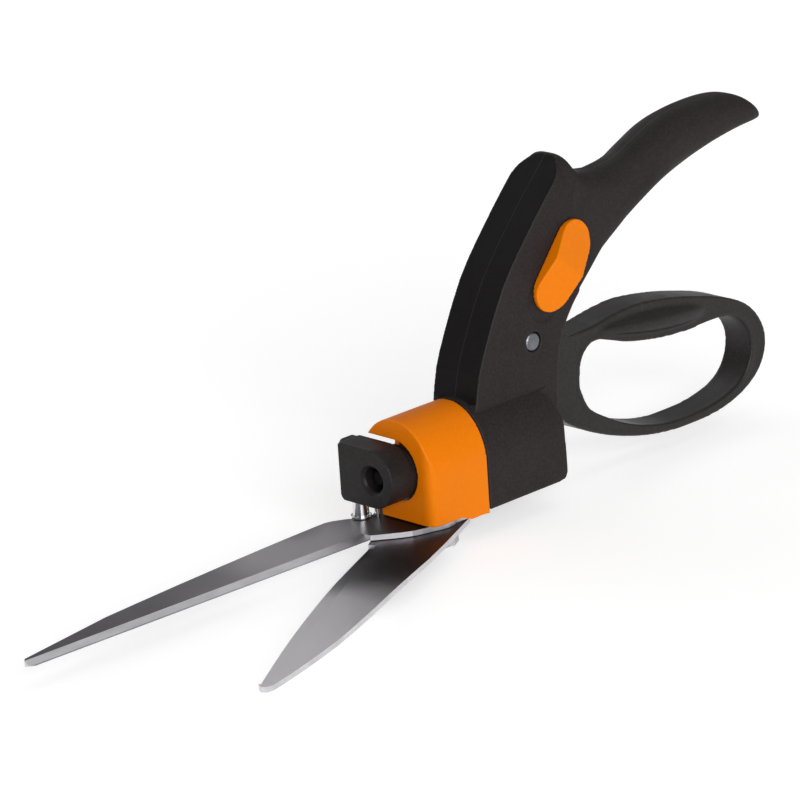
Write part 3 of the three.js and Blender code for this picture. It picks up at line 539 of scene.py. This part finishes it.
def across_seam(node, side):
    """A shell in front of the horn, with its seam face past the middle plane."""
    mesh = NODES[node].data.copy()
    co, _ = arrays(mesh)
    seam = np.abs(co[:, 1] - side * CAD_SEAM * MM) < 0.02 * MM
    co[seam, 1] = -side * SEAM_OVERLAP * MM
    put(mesh, co)
    return carved(mesh, "INTERSECT", block_from(HORN_FROM))


HORN_SCREWS = [(-71.5, 101.5, 10.4), (-128, 115.2, 10.6)]  # (x, z, half-width there)
BORE_RADIUS, BORE_DEPTH = 3.1, 3.9  # mm, round a screw's head and down to it
BORE_LENGTH = 20  # mm, well past the skin


def screw_bores():
    """The counterbores for the horn's screws, on the right."""
    bm = bmesh.new()
    radius = BORE_RADIUS * MM
    for x, z, half in HORN_SCREWS:
        middle = Matrix.Translation(row(x, BORE_DEPTH - half - BORE_LENGTH / 2, z))
        place = middle @ Matrix.Rotation(math.pi / 2, 4, "X")
        bmesh.ops.create_cone(
            bm, cap_ends=True, segments=40, radius1=radius, radius2=radius, depth=BORE_LENGTH * MM, matrix=place
        )
    return bm


HORN_TOP = [(-59.5, 107), (-70, 108.6), (-80, 109.2), (-92.6, 111), (-103.6, 115.2), (-115.6, 119.9),
            (-128.6, 122.2), (-142.6, 122.9), (-153, 122.2), (-160, 120.3), (-164.6, 117), (-167.4, 112.8)]
HORN_BOTTOM = [(-55.5, 64.6), (-65, 71.8), (-75, 77.8), (-86.5, 84.3), (-98, 90.8), (-111, 96.9),
               (-124.5, 101.4), (-138, 104.8), (-150, 107), (-158.6, 108.2), (-164.4, 108.9), (-167.2, 110)]
HORN_RINGS = 110
HORN_POWER = 2.6  # 2 is an ellipse, and more is squarer
HORN_TAPER = 1.2  # mm that the half-width loses along the horn
WAIST_DEPTH, WAIST_AT, WAIST_WIDTH = 1.2, 0.22, 0.12  # mm, and shares of the horn's length
ROOT_SHARE, ROOT_POWER, ROOT_FOOT = 0.3, 2.9, 24  # its first part is squarer, and below much squarer
TIP_SHARE, TIP_POWER, TIP_HALF = 0.2, 2.4, 0.7  # its last part rounds off to this share of its width


def horn_mesh():
    """The palm rest, from the crest back to its blunt tip."""
    rings = []
    for i, ends in enumerate(zip(spline(HORN_TOP, HORN_RINGS), spline(HORN_BOTTOM, HORN_RINGS))):
        share = i / HORN_RINGS
        along_tip = max(0.0, (share - (1 - TIP_SHARE)) / TIP_SHARE)
        blunt = math.sqrt(max(0.0, 1 - along_tip**TIP_POWER))
        waist = WAIST_DEPTH * math.exp(-(((share - WAIST_AT) / WAIST_WIDTH) ** 2))
        half = (GRIP_HALF - waist - HORN_TAPER * share) * (TIP_HALF + (1 - TIP_HALF) * blunt)
        root = max(0.0, 1 - share / ROOT_SHARE)
        power, foot = HORN_POWER + ROOT_POWER * root, HORN_POWER + ROOT_FOOT * root**3
        rings.append(section(*ends, half, power, 96, foot))
    return loft(rings)


SADDLE_TOP = [(-54, 117.5), (-58, 121.2), (-61.5, 119.8), (-65.2, 115.6), (-69.4, 112.4), (-75, 110.6),
              (-83, 109.2), (-92, 107)]
SADDLE_BOTTOM = [(-50, 92), (-54, 90), (-58, 88), (-62, 86), (-66, 84), (-71, 84), (-78, 86), (-88, 92)]
SADDLE_RINGS = 56
SADDLE_INSET, SADDLE_TAPER = 0.35, 0.9  # mm less than the grip's half-width, at its front and from there back


def saddle_mesh():
    """The crest's rounded back, which runs down into the horn."""
    rings = []
    for i, ends in enumerate(zip(spline(SADDLE_TOP, SADDLE_RINGS), spline(SADDLE_BOTTOM, SADDLE_RINGS))):
        half = GRIP_HALF - SADDLE_INSET - SADDLE_TAPER * smoothstep(0, 1, i / SADDLE_RINGS)
        rings.append(section(*ends, half, 3.2, 72))
    return loft(rings)


def behind_joint(p):
    """Nothing at the joint with the head, which stays crisp, and all of it a little behind."""
    return smoothstep(FOOT_TO_JOINT - 0.8, FOOT_TO_JOINT - 2.2, p[:, 0])


def crest_and_horn(p):
    """The soft forms above the grip and along its rear, which flow into each other."""
    return smoothstep(-46, -56, p[:, 0] - FOOT_TO_JOINT) * smoothstep(60, 72, p[:, 2])


def band_faces(mesh):
    """The handle's smooth front band, from the head to the crest, takes the second material."""
    normals = np.empty(len(mesh.polygons) * 3)
    centres = np.empty(len(mesh.polygons) * 3)
    mesh.polygons.foreach_get("normal", normals)
    mesh.polygons.foreach_get("center", centres)
    normals, centres = normals.reshape(-1, 3), centres.reshape(-1, 3) / MM
    faces_front = (normals[:, 0] > 0.45) & (np.abs(normals[:, 1]) < 0.62)
    on_grip = (centres[:, 2] > 38) & (centres[:, 0] > -45)
    mesh.polygons.foreach_set("material_index", (faces_front & on_grip).astype(np.int32))


handle_parts = [across_seam("handle_shell_left", 1), across_seam("handle_shell_right", -1)]
handle_parts += [carved(made, "DIFFERENCE", screw_bores()) for made in (horn_mesh(), saddle_mesh())]
handle = voxelised("handle", handle_parts, 0.5)
relax(handle.data, 5, behind_joint)
relax(handle.data, 70, crest_and_horn)
snap_to_arch(handle.data, FOOT_TO_JOINT - 40, FOOT_TO_JOINT + 1)
shells = halves(handle, ("shell_left", "shell_right"), SEAM_GAP)
for shell, node in zip(shells, ("handle_shell_left", "handle_shell_right")):
    shell.data.materials.append(LOOKS["shell"])
    shell.data.materials.append(LOOKS["band"])
    band_faces(shell.data)
    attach(shell, "handle")
    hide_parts(node)

# ---- finger lever: its CAD body in front, and the loop and its finger pad behind --------------------
LOOP_OUTER = [(-71.4, 51.3), (-85, 53.2), (-98, 53.5), (-115, 51.1), (-130, 47.7), (-144, 43.6), (-156, 38),
              (-163.5, 30.6), (-166.8, 22), (-165, 13.5), (-159.5, 7), (-150, 1.9), (-138, -1), (-124, -1.9),
              (-110, -1.3), (-96, 0.8), (-80.2, 5.1), (-66.5, 10.6), (-56.5, 16), (-51.8, 19.6)]
LOOP_ROOT = [(-48, 24.5), (-47, 32), (-47, 56), (-58, 51)]  # inside the lever's body
LOOP_INNER = [(-62, 30), (-63.5, 39.4), (-67.6, 44.2), (-73, 45.4), (-80, 43.4), (-89, 40.4), (-99, 38.3),
              (-111, 36.6), (-124, 35.9), (-136, 36.3), (-148, 35), (-155.4, 29.5), (-158.5, 21.5),
              (-156.2, 12.6), (-149.3, 6.2), (-137.3, 2.7), (-123.5, 1.6), (-110, 2.1), (-98, 4.5),
              (-87, 8.3), (-76, 13.8), (-66.5, 20.4), (-62, 30)]
LEVER_HALF = 7.0
LEVER_BODY_FROM = -60
PAD_FRONT, PAD_LENGTH, PAD_RINGS = -73, 60, 49
PAD_SWELL = 4.6  # mm, the most that its half-width gains


def pad_mesh():
    """The finger pad: wider than the loop's upper limb and fullest in its middle."""
    rings = []
    for share in np.linspace(0, 1, PAD_RINGS):
        x = PAD_FRONT - PAD_LENGTH * share
        swell = math.sin(math.pi * (0.06 + 0.88 * share)) ** 0.7
        top = 50.9 + 1.8 * math.sin(math.pi * share) - 5.2 * share
        bottom = 45.8 - 9 * math.sin(math.pi / 2 * share)
        half = LEVER_HALF - 1.5 + PAD_SWELL * swell
        rings.append(section(np.array([x, top]), np.array([x, bottom]), half, 2.4, 64))
    return loft(rings)


def lever_rear(p):
    """The loop and its pad, which are rounded, and not the lever's body."""
    return smoothstep(FOOT_TO_JOINT - 50, FOOT_TO_JOINT - 64, p[:, 0])


outer = [*map(tuple, spline(LOOP_OUTER, 190)), *LOOP_ROOT]
inner = [*map(tuple, spline(LOOP_INNER, 220))][:-1]
lever_parts = [in_front(NODES["finger_lever"].data, LEVER_BODY_FROM)]
lever_parts += [slab([outer, inner], -LEVER_HALF, LEVER_HALF), pad_mesh()]
lever_piece = voxelised("squeeze_lever", lever_parts, 0.5)
relax(lever_piece.data, 5)
relax(lever_piece.data, 130, lever_rear)
finished(lever_piece, "finger_lever", "lever", "lever")


# ---- head's cover, yoke and button ----------------------------------------------------------------
def ahead_of_joint(p):
    """Nothing at the joint with the handle, which stays crisp, and all of it a little in front."""
    return smoothstep(FOOT_TO_JOINT + 0.9, FOOT_TO_JOINT + 2.4, p[:, 0])


cover = voxelised("head_cover", [NODES["head_housing"].data], 0.4)
relax(cover.data, 10, ahead_of_joint)
snap_to_arch(cover.data, FOOT_TO_JOINT + 0.5, FOOT_TO_JOINT + 25)
finished(cover, "head_housing", "head", "orange")
yoke_block = voxelised("yoke_block", [NODES["drive_yoke"].data], 0.35)
relax(yoke_block.data, 9)
finished(yoke_block, "drive_yoke", "yoke", "yoke")
button = voxelised("slide_button", [NODES["lock_button"].data], 0.35)
relax(button.data, 14)
finished(button, "lock_button", "lock", "orange")

# ---- turned pieces that show ----------------------------------------------------------------------
TURN_STEPS = 64


def turned_piece(name, node, body, look, slot_name, profile, x, y, bore=0.0):
    """A piece turned about a vertical axis: its profile is (radius, height) from end to end, in mm."""
    bm = bmesh.new()
    angles = [2 * math.pi * i / TURN_STEPS for i in range(TURN_STEPS)]
    rings = []
    for radius, height in [(bore, profile[0][1]), *profile, (bore, profile[-1][1])]:
        ring = [(x + radius * math.cos(a), y + radius * math.sin(a)) for a in angles]
        rings.append([bm.verts.new(row(*point, height)) for point in (ring if radius else [(x, y)])])
    pairs = list(zip(rings, rings[1:])) + ([(rings[-1], rings[0])] if bore else [])
    for low, high in pairs:
        for i in range(TURN_STEPS):
            j = (i + 1) % TURN_STEPS
            corners = [low[i % len(low)], low[j % len(low)], high[j % len(high)], high[i % len(high)]]
            bm.faces.new(list(dict.fromkeys(corners)))
    bmesh.ops.recalc_face_normals(bm, faces=bm.faces)
    obj = placed(name, mesh_of(bm, name))
    crisp(obj, 0.15, 3, 25)
    finished(obj, node, body, look)


DRIVE_PIN = (34.8, -14.4)  # (x, y) of its axis
STOP_PIN = (30.9, -9.8)
PIN_PROFILE = [(3.6, -3.3), (3.9, -2.9), (3.9, -2.45), (2.4, -2.45), (2.4, 0.15), (3.1, 0.15), (3.1, 9.9),
               (2.2, 9.9), (2.2, 20.2)]
WASHER_PROFILE = [(4.0, 2.45), (4.0, 3.2)]
WASHER_BORE = 3.3
STOP_PROFILE = [(1, 0.3), (1, 5.6), (0.7, 6)]
turned_piece("blade_drive_pin", "drive_pin", "lower_blade", "chrome", "pin_chrome", PIN_PROFILE, *DRIVE_PIN)
turned_piece(
    "pin_washer", "drive_pin_washer", "lower_blade", "chrome", "pin_chrome",
    WASHER_PROFILE, *DRIVE_PIN, WASHER_BORE,
)
turned_piece("blade_stop", "stop_pin", "head", "chrome", "pin_chrome", STOP_PROFILE, *STOP_PIN)


# ---- blades ---------------------------------------------------------------------------------------
def blade_piece(name, node, body, look):
    """The blade, its ground bevel and sheared rim in brighter steel, and a hair of a radius on each edge."""
    mesh = NODES[node].data.copy()
    mesh.materials.clear()
    mesh.materials.append(LOOKS[look])
    mesh.materials.append(LOOKS["ground"])
    for polygon in mesh.polygons:
        polygon.material_index = 0 if abs(polygon.normal.z) > 0.98 else 1
    obj = placed(name, mesh)
    crisp(obj, 0.1, 2, 25)
    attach(obj, body)
    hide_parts(node)


blade_piece("fixed_blade", "upper_blade", "head", "upper")
blade_piece("swinging_blade", "lower_blade", "lower_blade", "lower")

# ---- camera, light and floor ----------------------------------------------------------------------
AZIMUTH, ELEVATION, ROLL = map(math.radians, (46.6, 18.3, 3.9))
DISTANCE, LENS = 1.8235, 225.0
TARGET = Vector((0.04489, 0.0, 0.04608))


def camera():
    flat = math.cos(ELEVATION)
    back = Vector((math.cos(AZIMUTH) * flat, math.sin(AZIMUTH) * flat, math.sin(ELEVATION)))
    level = Vector((-math.sin(AZIMUTH), math.cos(AZIMUTH), 0))
    up = back.cross(level)
    right = math.cos(ROLL) * level - math.sin(ROLL) * up
    top = math.sin(ROLL) * level + math.cos(ROLL) * up
    data = bpy.data.cameras.new("camera")
    data.lens = LENS
    data.sensor_width = 36.0
    data.clip_start = 0.05
    data.clip_end = 50
    obj = placed("camera", data)
    turn = Matrix((right, top, back)).transposed().to_4x4()
    obj.matrix_world = Matrix.Translation(TARGET + back * DISTANCE) @ turn
    bpy.context.scene.camera = obj


def area_light(name, place, size, power):
    data = bpy.data.lights.new(name, "AREA")
    data.shape = "RECTANGLE"
    data.size, data.size_y = size
    data.energy = power
    obj = placed(name, data)
    obj.location = place
    aim = TARGET - Vector(place)
    obj.rotation_euler = aim.to_track_quat("-Z", "Y").to_euler()


def sun(name, towards, power, angle):
    """A sun in that direction from the object, angle degrees wide."""
    data = bpy.data.lights.new(name, "SUN")
    data.energy = power
    data.angle = math.radians(angle)
    obj = placed(name, data)
    obj.rotation_euler = Vector(towards).to_track_quat("Z", "Y").to_euler()


WORLD_LIGHT = 0.3
FLOOR_HALF = 8.0  # m
FLOOR_BELOW = 0.0002  # m under the object
FLOOR_GLOW = 0.55  # lifts the pale floor towards white


def studio():
    world = bpy.data.worlds.new("studio")
    world.use_nodes = True
    background = world.node_tree.nodes["Background"]
    background.inputs["Color"].default_value = (1, 1, 1, 1)
    background.inputs["Strength"].default_value = WORLD_LIGHT
    bpy.context.scene.world = world
    bpy.context.scene.view_settings.view_transform = "Standard"


def floor_piece():
    floor_z = cad_box[0][2] - FLOOR_BELOW
    corners = [(x * FLOOR_HALF, y * FLOOR_HALF, floor_z) for x, y in ((-1, -1), (1, -1), (1, 1), (-1, 1))]
    mesh = bpy.data.meshes.new("floor")
    mesh.from_pydata(corners, [], [(0, 1, 2, 3)])
    look, _, shader = material("floor", (0.6, 0.6, 0.6), 0.8, specular=0.1)
    shader.inputs["Emission Color"].default_value = (1, 1, 1, 1)
    shader.inputs["Emission Strength"].default_value = FLOOR_GLOW
    mesh.materials.append(look)
    placed("floor", mesh)


camera()
sun("key", (0.42, 0.85, 0.3), 2.9, 40)
sun("top", (-0.3, 0.1, 0.95), 0.35, 60)
sun("fill", (-0.1, -0.9, 0.35), 0.8, 60)
area_light("front", (1.6, -0.2, 0.7), (0.9, 0.9), 1.5)
studio()
floor_piece()
